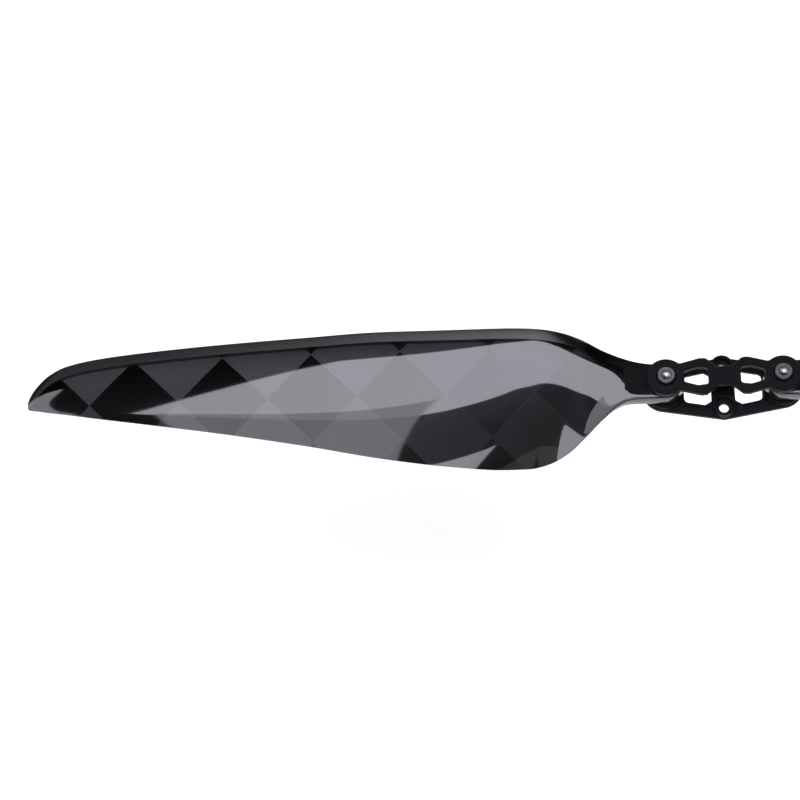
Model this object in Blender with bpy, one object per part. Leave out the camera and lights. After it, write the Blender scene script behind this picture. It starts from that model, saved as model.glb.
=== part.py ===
"""A two-blade folding propeller, 32 inches across with 11 inches of pitch.

Each blade is a foam core between two carbon skins, closed round a solid root block. The root block
turns on a brass bush that is clamped between an upper and a lower hub plate by a pivot screw.
Lengths are in metres. +Z is the rotation axis, pointing up from the motor seat, and the blades lie
along X. Seen from above the propeller turns clockwise.
"""

import math

import bmesh
import bpy

MM = 0.001
INCH = 0.0254

# Driving dimensions
DIAMETER = 32 * INCH
PITCH = 11 * INCH
PIVOT_X = 34 * MM
MOUNT_Y = 12.5 * MM
GAP = 0.3 * MM

LOWER_THICKNESS = 5.6 * MM
UPPER_THICKNESS = 4.0 * MM
WASHER_THICKNESS = 0.8 * MM
ROOT_THICKNESS = 10 * MM
ROOT_HALF_WIDTH = 10.9 * MM
PLATE_CHAMFER = 0.5 * MM

# Hub plates. The lower one is a thin truss with a raised pad at each pivot and two tall bosses
BEAM_THICKNESS = 3.0 * MM
PIVOT_END_RADIUS = 13.3 * MM
PAD_RADIUS = 12.7 * MM
PAD_FLAT_X = 23.4 * MM
UPPER_PAD_RADIUS = 11.25 * MM
BOSS_RADIUS = 6.9 * MM
BOSS_RIM_RADIUS = 6.6 * MM
BOSS_RIM_HEIGHT = 1.6 * MM
MOUNT_BORE_RADIUS = 5.5 * MM
MOUNT_FLOOR = 2.4 * MM
MOUNT_HOLE_RADIUS = 2.9 * MM
CROSSBAR_HALF_WIDTH = 6.9 * MM
RIB_HALF_WIDTH = 5.9 * MM
RIB_TOP = 5.0 * MM

# Pivot screw, nut, bush and washers
SHANK_RADIUS = 3.0 * MM
HEAD_RADIUS = 5.0 * MM
HEAD_HEIGHT = 4.0 * MM
HEAD_CHAMFER = 0.4 * MM
SOCKET_ACROSS_FLATS = 5.0 * MM
SOCKET_DEPTH = 2.4 * MM
HEAD_BORE_RADIUS = 5.4 * MM
HEAD_BORE_DEPTH = 1.6 * MM
NUT_ACROSS_FLATS = 10.0 * MM
NUT_HEIGHT = 3.0 * MM
BUSH_RADIUS = 5.5 * MM
WASHER_RADIUS = 10.2 * MM

# Blade
SKIN_THICKNESS = 0.7 * MM
HALF_EDGE = 0.5 * MM
CAMBER = 0.045
SKIN_START = 58 * MM
TONGUE_END = 88 * MM
CORE_END = 280 * MM
CHORD_STEPS = 12
SPAN_STEPS = 23
CORE_COLUMNS = (3, 7)
TONGUE_COLUMNS = (2, 10)
EYE_STEPS = 8
NECK_STEPS = 6
ROUND_STEPS = 32
FILLET_STEPS = 4
SMOOTH_ANGLE = math.radians(35)

# Radius from the hub axis, chord ahead of and behind the pivot line, and thickness, in millimetres.
STATIONS = (
    (34, 10.9, 10.9, 10.0),
    (42, 11.2, 10.9, 10.0),
    (50, 12.6, 10.9, 10.0),
    (56, 14.5, 11.3, 10.0),
    (63, 17.4, 14.2, 9.8),
    (71, 21.3, 20.3, 9.4),
    (80, 26.4, 28.8, 9.0),
    (92, 31.2, 39.3, 8.7),
    (104, 33.9, 45.3, 8.3),
    (115, 35.0, 47.4, 7.9),
    (128, 35.5, 47.5, 7.4),
    (160, 35.8, 44.9, 6.3),
    (200, 36.2, 39.1, 5.3),
    (245, 34.5, 30.2, 4.4),
    (290, 32.4, 22.1, 3.7),
    (335, 29.3, 14.9, 3.0),
    (366, 26.0, 10.1, 2.5),
    (384, 22.2, 7.1, 2.2),
    (394, 17.1, 5.6, 2.0),
    (401, 10.3, 4.4, 1.8),
    (405, 4.4, 3.8, 1.6),
    (406.4, 0.6, 3.0, 1.5),
)
RADIUS, LEAD, TRAIL, THICKNESS = range(4)

# Heights up the rotation axis, worked out from the stack
ROOT_BOTTOM = LOWER_THICKNESS + GAP + WASHER_THICKNESS + GAP
ROOT_TOP = ROOT_BOTTOM + ROOT_THICKNESS
ROOT_MIDDLE = (ROOT_BOTTOM + ROOT_TOP) / 2
UPPER_BOTTOM = ROOT_TOP + GAP + WASHER_THICKNESS + GAP
UPPER_TOP = UPPER_BOTTOM + UPPER_THICKNESS
BOSS_TOP = LOWER_THICKNESS + BOSS_RIM_HEIGHT
HEAD_BOTTOM = UPPER_TOP - HEAD_BORE_DEPTH + GAP
HOLE_RADIUS = SHANK_RADIUS + GAP
ROOT_BORE_RADIUS = BUSH_RADIUS + GAP
NUT_POCKET_DEPTH = NUT_HEIGHT + 2 * GAP


def clear_scene():
    for obj in list(bpy.data.objects):
        bpy.data.objects.remove(obj)


def material(name, colour, roughness, metallic):
    made = bpy.data.materials.new(name)
    made.use_nodes = True
    shader = made.node_tree.nodes["Principled BSDF"]
    shader.inputs["Base Color"].default_value = (*colour, 1)
    shader.inputs["Roughness"].default_value = roughness
    shader.inputs["Metallic"].default_value = metallic
    return made


def add_mesh(name, points, faces, finish=None, parent=None):
    """A closed mesh object from points and faces, with its faces turned outwards."""
    mesh = bpy.data.meshes.new(name)
    mesh.from_pydata(points, [], faces)
    shape = bmesh.new()
    shape.from_mesh(mesh)
    bmesh.ops.recalc_face_normals(shape, faces=shape.faces)
    shape.to_mesh(mesh)
    shape.free()
    obj = bpy.data.objects.new(name, mesh)
    bpy.context.scene.collection.objects.link(obj)
    obj.parent = parent
    if finish:
        mesh.materials.append(finish)
        mesh.shade_smooth()
        mesh.set_sharp_from_angle(angle=SMOOTH_ANGLE)
    return obj


def prism(name, outline, bottom, top, finish=None, parent=None):
    """A flat outline raised from one height to another."""
    count = len(outline)
    points = [(x, y, z) for z in (bottom, top) for x, y in outline]
    sides = [
        (i, (i + 1) % count, (i + 1) % count + count, i + count)
        for i in range(count)
    ]
    ends = [tuple(range(count)), tuple(range(count, 2 * count))]
    return add_mesh(name, points, sides + ends, finish, parent)


def turned(name, profile, finish, parent=None):
    """A solid turned round Z. The profile is a closed loop of (radius, height)."""
    points = []
    for step in range(ROUND_STEPS):
        angle = 2 * math.pi * step / ROUND_STEPS
        points += [(r * math.cos(angle), r * math.sin(angle), z) for r, z in profile]
    count = len(profile)
    faces = []
    for step in range(ROUND_STEPS):
        here = step * count
        there = (step + 1) % ROUND_STEPS * count
        for i in range(count):
            j = (i + 1) % count
            faces.append((here + i, here + j, there + j, there + i))
    return add_mesh(name, points, faces, finish, parent)


def solid_between(name, upper, lower, finish, parent):
    """A closed solid between two grids of points that have the same rows and columns."""
    rows = len(upper)
    columns = len(upper[0])
    below = rows * columns
    points = [point for grid in (upper, lower) for row in grid for point in row]

    def at(row, column):
        return row * columns + column

    faces = []
    for row in range(rows - 1):
        for column in range(columns - 1):
            quad = (
                at(row, column),
                at(row, column + 1),
                at(row + 1, column + 1),
                at(row + 1, column),
            )
            faces.append(quad)
            faces.append(tuple(below + corner for corner in reversed(quad)))
    rim = [at(0, column) for column in range(columns)]
    rim += [at(row, columns - 1) for row in range(1, rows)]
    rim += [at(rows - 1, column) for column in reversed(range(columns - 1))]
    rim += [at(row, 0) for row in reversed(range(1, rows - 1))]
    for i, corner in enumerate(rim):
        following = rim[(i + 1) % len(rim)]
        faces.append((corner, below + corner, below + following, following))
    return add_mesh(name, points, faces, finish, parent)


def combine(target, other, operation):
    """Cuts the other solid from the target, or joins it on, and hides the other."""
    boolean = target.modifiers.new(other.name, "BOOLEAN")
    boolean.operation = operation
    boolean.solver = "EXACT"
    boolean.object = other
    other.hide_render = True
    other.display_type = "WIRE"


def chamfer(target, width):
    bevel = target.modifiers.new("chamfer", "BEVEL")
    bevel.width = width
    bevel.segments = 1
    bevel.limit_method = "ANGLE"
    bevel.angle_limit = math.radians(60)


def arc(centre, radius, start, end, steps):
    """Points on an arc, with its angles in degrees."""
    points = []
    for step in range(steps + 1):
        angle = math.radians(start + (end - start) * step / steps)
        x = centre[0] + radius * math.cos(angle)
        y = centre[1] + radius * math.sin(angle)
        points.append((x, y))
    return points


def circle(centre, radius):
    return arc(centre, radius, 0, 360, ROUND_STEPS)[:-1]


def hexagon(centre, across_flats):
    return arc(centre, across_flats / math.sqrt(3), 0, 360, 6)[:-1]


def fillet(before, corner, after, radius):
    """The arc that rounds one corner of an outline."""
    ways = []
    for point in (before, after):
        across, up = point[0] - corner[0], point[1] - corner[1]
        size = math.hypot(across, up)
        ways.append((across / size, up / size))
    (ax, ay), (bx, by) = ways
    half = math.acos(max(-1, min(1, ax * bx + ay * by))) / 2
    middle = math.hypot(ax + bx, ay + by)
    reach = radius / math.sin(half)
    centre = (corner[0] + (ax + bx) / middle * reach, corner[1] + (ay + by) / middle * reach)
    run = radius / math.tan(half)
    first = math.atan2(corner[1] + ay * run - centre[1], corner[0] + ax * run - centre[0])
    last = math.atan2(corner[1] + by * run - centre[1], corner[0] + bx * run - centre[0])
    turn = (last - first + math.pi) % (2 * math.pi) - math.pi
    return arc(centre, radius, math.degrees(first), math.degrees(first + turn), FILLET_STEPS)


def rounded(corners):
    """An outline from corners (x, y, radius). A corner of radius 0 is kept as a point."""
    outline = []
    for i, (x, y, radius) in enumerate(corners):
        if radius:
            after = corners[(i + 1) % len(corners)]
            outline += fillet(corners[i - 1][:2], (x, y), after[:2], radius)
        else:
            outline.append((x, y))
    return outline


def mirrored_in_y(corners):
    """The corners above the X axis, then their mirror images below it."""
    return corners + [(x, -y, radius) for x, y, radius in reversed(corners) if y]


def mirrored_in_x(corners):
    """The corners right of the Y axis, then their mirror images left of it."""
    return corners + [(-x, y, radius) for x, y, radius in reversed(corners) if x]


def plain(points):
    return [(x, y, 0) for x, y in points]


def quarter_to_outline(quarter):
    """A whole outline from its first quarter, which runs from the +Y side round to +X."""
    right = [(x, -y, radius) for x, y, radius in reversed(quarter) if abs(y) > MM / 100]
    return rounded(mirrored_in_x(quarter + right))


def upper_outline():
    """A narrow waist, a wider hexagon each side of it, and a round pad at each pivot."""
    quarter = [(4.2 * MM, 5.8 * MM, 2.0 * MM)]
    quarter += [(10.6 * MM, 11.1 * MM, 2.0 * MM), (14.0 * MM, 11.3 * MM, 3.0 * MM)]
    quarter += [(25.3 * MM, 8.3 * MM, 1.5 * MM)]
    quarter += plain(arc((PIVOT_X, 0), UPPER_PAD_RADIUS, 130, 0, ROUND_STEPS // 2))
    return quarter_to_outline(quarter)


def lower_outline():
    """The truss: round bosses and pivot ends, joined by the straight lines that touch both."""
    lean = math.degrees(math.asin((PIVOT_END_RADIUS - BOSS_RADIUS) / math.hypot(PIVOT_X, MOUNT_Y)))
    touch = 90 - math.degrees(math.atan2(MOUNT_Y, PIVOT_X)) + lean
    quarter = plain(arc((0, MOUNT_Y), BOSS_RADIUS, 90, touch, 2))
    quarter += plain(arc((PIVOT_X, 0), PIVOT_END_RADIUS, touch, 0, ROUND_STEPS // 2))
    return quarter_to_outline(quarter)


def upper_window(side):
    corners = [(9.4 * MM, 5.1 * MM, 1.8 * MM), (15.5 * MM, 5.8 * MM, 3.0 * MM)]
    corners += [(23.8 * MM, 3.3 * MM, 2.0 * MM)]
    return [(side * x, y) for x, y in rounded(mirrored_in_y(corners))]


def lower_window(side):
    corners = [(CROSSBAR_HALF_WIDTH, 7.9 * MM, 1.5 * MM), (10.8 * MM, 10.4 * MM, 2.5 * MM)]
    corners += [(22.9 * MM, 8.0 * MM, 3.0 * MM)]
    return [(side * x, y) for x, y in rounded(mirrored_in_y(corners))]


def pad_outline(side):
    """The raised pad round a pivot, cut off flat beside the window."""
    cut = math.degrees(math.acos((PIVOT_X - PAD_FLAT_X) / PAD_RADIUS))
    outline = arc((PIVOT_X, 0), PAD_RADIUS, cut - 180, 180 - cut, ROUND_STEPS)
    return [(side * x, y) for x, y in outline]


def cut_prism(target, name, outline, bottom, top):
    combine(target, prism(name, outline, bottom, top), "DIFFERENCE")


def make_upper_plate(finish):
    plate = prism("hub_upper_plate", upper_outline(), UPPER_BOTTOM, UPPER_TOP, finish)
    chamfer(plate, PLATE_CHAMFER)
    below = UPPER_BOTTOM - MM
    above = UPPER_TOP + MM
    for side in (-1, 1):
        pivot = (side * PIVOT_X, 0)
        cut_prism(plate, f"upper_window_cutter_{side}", upper_window(side), below, above)
        cut_prism(plate, f"upper_hole_cutter_{side}", circle(pivot, HOLE_RADIUS), below, above)
        seat = UPPER_TOP - HEAD_BORE_DEPTH
        cut_prism(plate, f"head_bore_cutter_{side}", circle(pivot, HEAD_BORE_RADIUS), seat, above)


def make_lower_plate(finish):
    plate = prism("hub_lower_plate", lower_outline(), 0, BEAM_THICKNESS, finish)
    chamfer(plate, PLATE_CHAMFER)
    above = BOSS_TOP + MM
    inside = BEAM_THICKNESS / 2
    rib = mirrored_in_x([(RIB_HALF_WIDTH, MOUNT_Y, 0), (RIB_HALF_WIDTH, -MOUNT_Y, 0)])
    combine(plate, prism("crossbar_rib", rounded(rib), inside, RIB_TOP), "UNION")
    for side in (-1, 1):
        boss = (0, side * MOUNT_Y)
        pivot = (side * PIVOT_X, 0)
        rim = prism(f"boss_rim_{side}", circle(boss, BOSS_RIM_RADIUS), MOUNT_FLOOR / 2, BOSS_TOP)
        combine(plate, rim, "UNION")
        combine(plate, prism(f"pad_{side}", pad_outline(side), inside, LOWER_THICKNESS), "UNION")
        cut_prism(plate, f"lower_window_cutter_{side}", lower_window(side), -MM, above)
        cut_prism(plate, f"mount_bore_cutter_{side}", circle(boss, MOUNT_BORE_RADIUS), MOUNT_FLOOR, above)
        cut_prism(plate, f"mount_hole_cutter_{side}", circle(boss, MOUNT_HOLE_RADIUS), -MM, above)
        cut_prism(plate, f"lower_hole_cutter_{side}", circle(pivot, HOLE_RADIUS), -MM, above)
        pocket = hexagon(pivot, NUT_ACROSS_FLATS + 2 * GAP)
        cut_prism(plate, f"nut_pocket_cutter_{side}", pocket, -MM, NUT_POCKET_DEPTH)


def make_pivot_screw(number, pivot, finish):
    tail = 2 * GAP
    head_top = HEAD_BOTTOM + HEAD_HEIGHT
    shank_top = HEAD_BOTTOM + HEAD_HEIGHT / 4
    shank = prism(f"pivot_screw_{number}", circle((0, 0), SHANK_RADIUS), tail, shank_top, finish, pivot)
    levels = [(HEAD_RADIUS, HEAD_BOTTOM), (HEAD_RADIUS, head_top - HEAD_CHAMFER)]
    levels += [(HEAD_RADIUS - HEAD_CHAMFER, head_top)]
    head = round_bar(f"head_{number}", levels, pivot)
    combine(shank, head, "UNION")
    socket = prism(
        f"socket_cutter_{number}",
        hexagon((0, 0), SOCKET_ACROSS_FLATS),
        head_top - SOCKET_DEPTH,
        head_top + MM,
        parent=pivot,
    )
    combine(shank, socket, "DIFFERENCE")


def round_bar(name, levels, parent):
    """A solid bar round Z, from its (radius, height) at each level."""
    points = [(x, y, z) for radius, z in levels for x, y in circle((0, 0), radius)]
    faces = []
    for low in range(0, (len(levels) - 1) * ROUND_STEPS, ROUND_STEPS):
        high = low + ROUND_STEPS
        for i in range(ROUND_STEPS):
            j = (i + 1) % ROUND_STEPS
            faces.append((low + i, low + j, high + j, high + i))
    last = (len(levels) - 1) * ROUND_STEPS
    faces.append(tuple(range(ROUND_STEPS)))
    faces.append(tuple(range(last, last + ROUND_STEPS)))
    return add_mesh(name, points, faces, parent=parent)


def make_pivot_nut(number, pivot, finish):
    outline = hexagon((0, 0), NUT_ACROSS_FLATS)
    hole = circle((0, 0), HOLE_RADIUS)
    top = GAP + NUT_HEIGHT
    nut = prism(f"pivot_nut_{number}", outline, GAP, top, finish, pivot)
    bore = prism(f"nut_bore_cutter_{number}", hole, -MM, top + MM, parent=pivot)
    combine(nut, bore, "DIFFERENCE")


def ring_profile(inner, outer, bottom, top):
    return [(outer, top), (outer, bottom), (inner, bottom), (inner, top)]


def make_bush_and_washers(number, pivot, bush_finish, washer_finish):
    low = LOWER_THICKNESS + GAP
    high = UPPER_BOTTOM - GAP
    turned(f"pivot_bush_{number}", ring_profile(HOLE_RADIUS, BUSH_RADIUS, low, high), bush_finish, pivot)
    for name, bottom in (("lower", low), ("upper", high - WASHER_THICKNESS)):
        profile = ring_profile(ROOT_BORE_RADIUS, WASHER_RADIUS, bottom, bottom + WASHER_THICKNESS)
        turned(f"{name}_friction_washer_{number}", profile, washer_finish, pivot)


def ease(value, start, end):
    """Rises smoothly from 0 at start to 1 at end."""
    part = max(0.0, min(1.0, (value - start) / (end - start)))
    return part * part * (3 - 2 * part)


def slope_at(index, column):
    """The slope of one column of the station table, kept flat where the values turn."""
    if index in (0, len(STATIONS) - 1):
        near = STATIONS[1 if index == 0 else index - 1]
        here = STATIONS[index]
        return (near[column] - here[column]) / (near[RADIUS] - here[RADIUS])
    before, here, after = STATIONS[index - 1 : index + 2]
    rise = (here[column] - before[column]) / (here[RADIUS] - before[RADIUS])
    fall = (after[column] - here[column]) / (after[RADIUS] - here[RADIUS])
    return 2 * rise * fall / (rise + fall) if rise * fall > 0 else 0.0


def station(radius, column):
    """One value of the blade at any radius, on a smooth curve through the stations."""
    place = radius / MM
    index = 0
    while index < len(STATIONS) - 2 and STATIONS[index + 1][RADIUS] < place:
        index += 1
    low, high = STATIONS[index], STATIONS[index + 1]
    width = high[RADIUS] - low[RADIUS]
    t = max(0.0, min(1.0, (place - low[RADIUS]) / width))
    value = (2 * t**3 - 3 * t**2 + 1) * low[column]
    value += (3 * t**2 - 2 * t**3) * high[column]
    value += (t**3 - 2 * t**2 + t) * width * slope_at(index, column)
    value += (t**3 - t**2) * width * slope_at(index + 1, column)
    return value * MM


def twist(radius):
    """The blade angle: flat at the neck, then the angle of a screw of the stated pitch."""
    return ease(radius, 46 * MM, 110 * MM) * math.atan(PITCH / (2 * math.pi * radius))


def half_thickness(radius, chord_part):
    """Half the thickness at a part of the chord, from a rounded bar at the neck to an aerofoil."""
    across = abs(2 * chord_part - 1)
    bar = (1 - across**8) ** (1 / 8)
    root = math.sqrt(chord_part)
    powers = (-0.126, -0.3516, 0.2843, -0.1036)
    foil = 0.2969 * root + sum(k * chord_part ** (i + 1) for i, k in enumerate(powers))
    shape = foil * 10 + (bar - foil * 10) * (1 - ease(radius, 50 * MM, 84 * MM))
    return HALF_EDGE + (station(radius, THICKNESS) / 2 - HALF_EDGE) * max(0.0, shape)


def blade_point(radius, chord_part, side, inset=0.0, half_width=None):
    """A point of the upper (side 1) or lower (side -1) surface, in the blade's own frame.

    chord_part runs from 0 at the leading edge to 1 at the trailing edge. inset moves the point
    towards the mid-surface, but never past the seam between the two skins.
    """
    lead = half_width or station(radius, LEAD)
    trail = half_width or station(radius, TRAIL)
    across = lead - chord_part * (lead + trail)
    bow = CAMBER * (lead + trail) * ease(radius, 60 * MM, 120 * MM) * 4 * chord_part * (1 - chord_part)
    half = half_thickness(max(radius, PIVOT_X), chord_part)
    if inset:
        half = max(GAP / 2, half - inset)
    height = bow + side * half
    angle = twist(max(radius, PIVOT_X))
    y = -across * math.cos(angle) + height * math.sin(angle)
    z = ROOT_MIDDLE + across * math.sin(angle) + height * math.cos(angle)
    return (radius - PIVOT_X, y, z)


def chord_parts(first=0, last=CHORD_STEPS):
    """Parts of the chord, closer together at the two edges."""
    return [(1 - math.cos(math.pi * i / CHORD_STEPS)) / 2 for i in range(first, last + 1)]


def span_radii():
    """Radii of the skins' stations, closer together at the root and the tip."""
    radii = []
    for step in range(SPAN_STEPS + 1):
        even = step / SPAN_STEPS
        part = 0.3 * even + 0.7 * (1 - math.cos(math.pi * even)) / 2
        radii.append(SKIN_START + (DIAMETER / 2 - SKIN_START) * part)
    return radii


def surface(radii, parts, side, inset=0.0):
    return [[blade_point(radius, part, side, inset) for part in parts] for radius in radii]


def make_skin(name, side, finish, pivot):
    radii = span_radii()
    outer = surface(radii, chord_parts(), side)
    inner = surface(radii, chord_parts(), side, SKIN_THICKNESS)
    solid_between(name, outer, inner, finish, pivot)


def make_core(name, finish, pivot):
    start = TONGUE_END + GAP
    radii = [start] + [radius for radius in span_radii() if start + MM < radius < CORE_END]
    parts = chord_parts(*CORE_COLUMNS)
    inset = SKIN_THICKNESS + GAP
    solid_between(name, surface(radii, parts, 1, inset), surface(radii, parts, -1, inset), finish, pivot)


def make_root_block(name, number, finish, pivot):
    """A round eye and a neck as wide as it, with a tongue that the skins close over."""
    parts = chord_parts()
    rows = []
    for side in (1, -1):
        grid = []
        for step in range(EYE_STEPS):
            angle = math.pi / 2 * (step + 0.5) / EYE_STEPS
            width = ROOT_HALF_WIDTH * math.sin(angle)
            radius = PIVOT_X - ROOT_HALF_WIDTH * math.cos(angle)
            grid.append([blade_point(radius, part, side, half_width=width) for part in parts])
        neck_end = SKIN_START - GAP
        for step in range(NECK_STEPS + 1):
            radius = PIVOT_X + (neck_end - PIVOT_X) * step / NECK_STEPS
            grid.append([blade_point(radius, part, side) for part in parts])
        rows.append(grid)
    block = solid_between(name, rows[0], rows[1], finish, pivot)
    inset = SKIN_THICKNESS + GAP
    radii = [SKIN_START - 8 * MM] + [radius for radius in span_radii() if radius < TONGUE_END]
    narrow = chord_parts(*TONGUE_COLUMNS)
    tongue = solid_between(
        f"tongue_{number}", surface(radii, narrow, 1, inset), surface(radii, narrow, -1, inset), None, pivot
    )
    combine(block, tongue, "UNION")
    bore = prism(f"root_bore_cutter_{number}", circle((0, 0), ROOT_BORE_RADIUS), 0, UPPER_TOP, parent=pivot)
    combine(block, bore, "DIFFERENCE")


def add_pivot(number, side, turn):
    pivot = bpy.data.objects.new(f"pivot_{number}", None)
    pivot.location = (side * PIVOT_X, 0, 0)
    pivot.rotation_euler = (0, 0, turn)
    bpy.context.scene.collection.objects.link(pivot)
    return pivot


def main():
    clear_scene()
    hub = material("black_anodised", (0.012, 0.012, 0.013), 0.45, 0.6)
    steel = material("stainless_steel", (0.62, 0.61, 0.60), 0.25, 1.0)
    brass = material("brass", (0.60, 0.43, 0.16), 0.3, 1.0)
    nylon = material("washer_black", (0.02, 0.02, 0.02), 0.5, 0.0)
    carbon = material("carbon_gloss", (0.03, 0.03, 0.033), 0.12, 0.0)
    black = material("root_black", (0.008, 0.008, 0.009), 0.15, 0.0)
    foam = material("foam", (0.75, 0.72, 0.62), 0.9, 0.0)
    make_upper_plate(hub)
    make_lower_plate(hub)
    for number, side, turn in ((1, -1, math.pi), (2, 1, 0)):
        pivot = add_pivot(number, side, turn)
        make_pivot_screw(number, pivot, steel)
        make_pivot_nut(number, pivot, steel)
        make_bush_and_washers(number, pivot, brass, nylon)
        make_root_block(f"blade_{number}_root_block", number, black, pivot)
        make_core(f"blade_{number}_foam_core", foam, pivot)
        make_skin(f"blade_{number}_upper_skin", 1, carbon, pivot)
        make_skin(f"blade_{number}_lower_skin", -1, carbon, pivot)


main()
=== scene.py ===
"""The looks of a two-blade folding propeller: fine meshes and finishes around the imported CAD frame.

Lengths are in metres, in the frame of the CAD model: +Z is the rotation axis and the blades lie
along X. Each finer mesh rides on the body of the CAD node that it replaces.
"""

import math

import bmesh
import bpy
from mathutils import Matrix, Vector


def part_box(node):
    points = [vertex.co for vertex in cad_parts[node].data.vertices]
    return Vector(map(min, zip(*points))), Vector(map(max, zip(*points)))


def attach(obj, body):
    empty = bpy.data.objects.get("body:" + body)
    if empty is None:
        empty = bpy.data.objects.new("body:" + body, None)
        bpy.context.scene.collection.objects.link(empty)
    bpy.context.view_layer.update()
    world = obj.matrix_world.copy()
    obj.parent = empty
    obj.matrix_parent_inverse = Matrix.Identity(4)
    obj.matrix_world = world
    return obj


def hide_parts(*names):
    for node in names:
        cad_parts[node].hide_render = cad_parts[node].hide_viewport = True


MM = 0.001
INCH = 0.0254

# Driving dimensions, the same as the CAD model's
DIAMETER = 32 * INCH
PITCH = 11 * INCH
PIVOT_X = 34 * MM
MOUNT_Y = 12.5 * MM
GAP = 0.3 * MM

# Hub plates
BEAM_THICKNESS = 3.0 * MM
PIVOT_END_RADIUS = 13.3 * MM
PAD_RADIUS = 12.7 * MM
PAD_FLAT_X = 23.4 * MM
UPPER_PAD_RADIUS = 11.25 * MM
BOSS_RADIUS = 6.9 * MM
BOSS_RIM_RADIUS = 6.6 * MM
BOSS_RIM_HEIGHT = 1.6 * MM
MOUNT_BORE_RADIUS = 5.5 * MM
MOUNT_FLOOR = 2.4 * MM
MOUNT_HOLE_RADIUS = 2.9 * MM
CROSSBAR_HALF_WIDTH = 6.9 * MM
RIB_HALF_WIDTH = 5.9 * MM
RIB_TOP = 5.0 * MM
PLATE_CHAMFER = 0.5 * MM
FINE_CHAMFER = 0.25 * MM
ROOF_CHAMFER = 0.01 * MM

# Pivot screw, nut, bush and washers
SHANK_RADIUS = 3.0 * MM
THREAD_PITCH = 1.0 * MM
THREAD_DEPTH = 0.35 * MM
THREAD_LENGTH = 5 * MM
HEAD_RADIUS = 5.0 * MM
HEAD_HEIGHT = 4.0 * MM
SOCKET_ACROSS_FLATS = 5.0 * MM
SOCKET_DEPTH = 2.4 * MM
HEAD_BORE_RADIUS = 5.4 * MM
HEAD_BORE_DEPTH = 1.6 * MM
NUT_ACROSS_FLATS = 10.0 * MM
BUSH_RADIUS = 5.5 * MM
WASHER_RADIUS = 10.2 * MM
HEAD_CHAMFER = 0.4 * MM
NUT_CHAMFER = 0.35 * MM
WASHER_CHAMFER = 0.1 * MM
DRILL_RADIUS = 1.6 * MM
DRILL_DEPTH = 0.6 * MM
AXIS_RADIUS = 0.01 * MM
HOLE_RADIUS = SHANK_RADIUS + GAP
ROOT_BORE_RADIUS = BUSH_RADIUS + GAP
NUT_POCKET_DEPTH = 3.6 * MM

# Blade
ROOT_HALF_WIDTH = 10.9 * MM
SKIN_THICKNESS = 0.7 * MM
SEAM = 0.02 * MM
HALF_EDGE = 0.5 * MM
CAMBER = 0.045
CAMBER_START, CAMBER_END = 60 * MM, 120 * MM
TWIST_START, TWIST_END = 46 * MM, 110 * MM
FOIL_START, FOIL_END = 50 * MM, 84 * MM
BAR_POWER = 8
SKIN_START = 58 * MM
CHORD_STEPS = 40
SPAN_STEPS = 120
EYE_STEPS = 20
NECK_STEPS = 16
ROUND_STEPS = 96
FILLET_STEPS = 8
SMOOTH_ANGLE = math.radians(35)

# Radius from the hub axis, chord ahead of and behind the pivot line, and thickness, in millimetres.
STATIONS = (
    (34, 10.9, 10.9, 10.0),
    (42, 11.2, 10.9, 10.0),
    (50, 12.6, 10.9, 10.0),
    (56, 14.5, 11.3, 10.0),
    (63, 17.4, 14.2, 9.8),
    (71, 21.3, 20.3, 9.4),
    (80, 26.4, 28.8, 9.0),
    (92, 31.2, 39.3, 8.7),
    (104, 33.9, 45.3, 8.3),
    (115, 35.0, 47.4, 7.9),
    (128, 35.5, 47.5, 7.4),
    (160, 35.8, 44.9, 6.3),
    (200, 36.2, 39.1, 5.3),
    (245, 34.5, 30.2, 4.4),
    (290, 32.4, 22.1, 3.7),
    (335, 29.3, 14.9, 3.0),
    (366, 26.0, 10.1, 2.5),
    (384, 22.2, 7.1, 2.2),
    (394, 17.1, 5.6, 2.0),
    (401, 10.3, 4.4, 1.8),
    (405, 4.4, 3.8, 1.6),
    (406.4, 0.6, 3.0, 1.5),
)
RADIUS, LEAD, TRAIL, THICKNESS = range(4)

# A symmetrical aerofoil's half thickness: the factor of the chord part's root, then of its powers
FOIL_ROOT_FACTOR = 0.2969
FOIL_FACTORS = (-0.126, -0.3516, 0.2843, -0.1036)

# The diamond checks of the spread-tow cloth, in the blade's own map
MAP = "blade_map"
CHECK_SIDE = 36.8 * MM
CHECK_CENTRE = (84 * MM, -2.5 * MM)
CHECK_SEAM = 0.006
EDGE = "behind_edge"
# The leading edge's pale strip and the dark line behind it are painted reflections of the rounded edge.
STRIP_WIDTH = 6.4 * MM
STRIP_SEAM = 0.9 * MM
NECK_BLACK_START, NECK_BLACK_END = 78 * MM, 84 * MM
# The radii over which the checks' painted light and shade changes from its root tones to its tip tones
TIP_GREY_START, TIP_GREY_END = 110 * MM, 250 * MM
TOW_SCALE_ACROSS, TOW_SCALE_ALONG = 90, 1.5

# Camera, from the object's own frame
CAMERA_TARGET = (-0.18891, -0.00482, 0.012)
CAMERA_DISTANCE = 2.0
CAMERA_AZIMUTH = math.radians(2.195)
CAMERA_ELEVATION = math.radians(66.886)
CAMERA_ROLL = math.radians(-3.902)
CAMERA_LENS = 154.34
SENSOR_WIDTH = 36

# Studio
FLOOR_DEPTH = 0.25
FLOOR_HALF_SIZE = 4.0
FLOOR_GREY = 0.92
FLOOR_GLOW = 0.75
WORLD_LIGHT = 0.02
WORLD_SEEN = 0.95
SOFTBOX_HEIGHT = 1.2
# Plain rectangular softboxes, facing down: centre, width and depth, turn in degrees, glow.
SOFTBOXES = (
    ((-0.05, -0.10), (0.80, 0.60), -18, 5.0),
    ((-0.35, -0.55), (0.30, 0.60), 0, 2.2),
    ((-0.75, -0.10), (0.30, 0.60), 0, 3.0),
    ((-0.15, -1.20), (0.40, 0.60), 0, 4.0),
)
SOFTBOX_TINT = (1.0, 0.975, 1.09, 1.0)

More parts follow.
